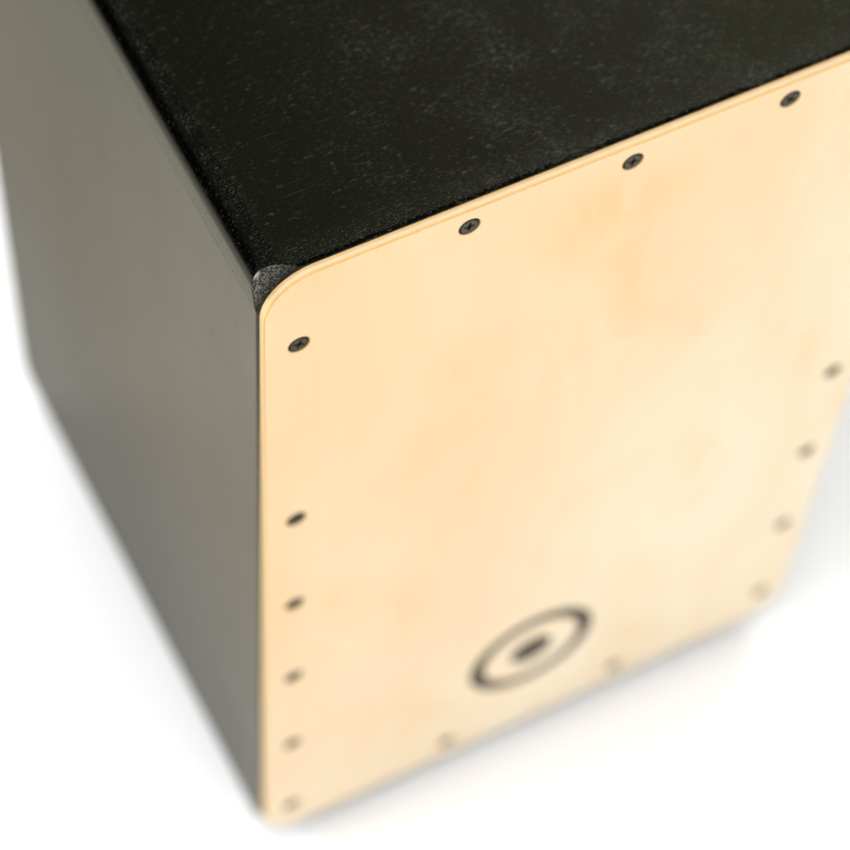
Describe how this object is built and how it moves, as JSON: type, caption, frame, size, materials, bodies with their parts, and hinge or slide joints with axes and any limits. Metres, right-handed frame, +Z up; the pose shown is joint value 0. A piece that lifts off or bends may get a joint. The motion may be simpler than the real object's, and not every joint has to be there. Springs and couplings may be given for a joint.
{
  "type": "cajon",
  "caption": "Box drum with a screwed striking plate, adjustable slap corners, a rear sound port, rubber feet and throw-off snares.",
  "frame": {"origin": "centre of the footprint, on the floor under the rubber feet", "axes": "+Z up, the striking plate faces -Y, +X to the right seen from the player's front"},
  "size_m": [0.3, 0.3, 0.5],
  "materials": {
    "black_satin_board": "satin black stain over fibreboard and ply, fine open grain",
    "birch_plate": "clear satin lacquer over pale birch ply",
    "pine_strip": "bare planed softwood",
    "beech_bar": "bare sanded hardwood",
    "black_screw": "black oxide",
    "zinc_steel": "zinc plated",
    "strip_steel": "rolled strip",
    "wire_steel": "drawn spring wire",
    "foot_rubber": "matt moulded rubber"
  },
  "bodies": {
    "box": {"seat_panel": "black_satin_board", "bottom_panel": "black_satin_board", "left_side_panel": "black_satin_board", "right_side_panel": "black_satin_board", "back_panel": "black_satin_board", "frontplate": "birch_plate", "front_batten_left": "pine_strip", "front_batten_right": "pine_strip", "front_batten_bottom": "pine_strip", "rear_cleat_left": "pine_strip", "rear_cleat_right": "pine_strip", "rear_cleat_top": "pine_strip", "rear_cleat_bottom": "pine_strip", "frontplate_screws_left": "black_screw", "frontplate_screws_right": "black_screw", "frontplate_screws_top": "black_screw", "frontplate_screws_bottom": "black_screw", "back_panel_screws": "black_screw", "foot_front_left": "foot_rubber", "foot_front_right": "foot_rubber", "foot_rear_left": "foot_rubber", "foot_rear_right": "foot_rubber", "foot_washers": "zinc_steel", "foot_screws": "zinc_steel", "snare_block_left": "beech_bar", "snare_block_right": "beech_bar", "snare_block_screws": "zinc_steel"},
    "snare_carrier": {"snare_bar": "beech_bar", "snare_strip_left": "strip_steel", "snare_strip_right": "strip_steel", "snare_wires_left": "wire_steel", "snare_wires_right": "wire_steel", "snare_strip_screws": "zinc_steel", "snare_lever": "beech_bar"},
    "slap_screw_left": {"slap_screw_left": "black_screw"},
    "slap_screw_right": {"slap_screw_right": "black_screw"},
    "snare_lock": {"snare_lock_screw": "zinc_steel"}
  },
  "joints": [
    {"name": "snare_throw", "type": "hinge", "parent": "box", "child": "snare_carrier", "pos_m": [0, -0.11, 0.34], "axis": [1, 0, 0], "range_deg": [-25, 0]},
    {"name": "slap_left", "type": "slide", "parent": "box", "child": "slap_screw_left", "axis": [0, -1, 0], "range_m": [0, 0.0025]},
    {"name": "slap_right", "type": "slide", "parent": "box", "child": "slap_screw_right", "axis": [0, -1, 0], "range_m": [0, 0.0025]},
    {"name": "lock_turn", "type": "hinge", "parent": "box", "child": "snare_lock", "pos_m": [0.127, -0.09, 0.34], "axis": [0, 1, 0], "range_deg": [0, 360]}
  ]
}
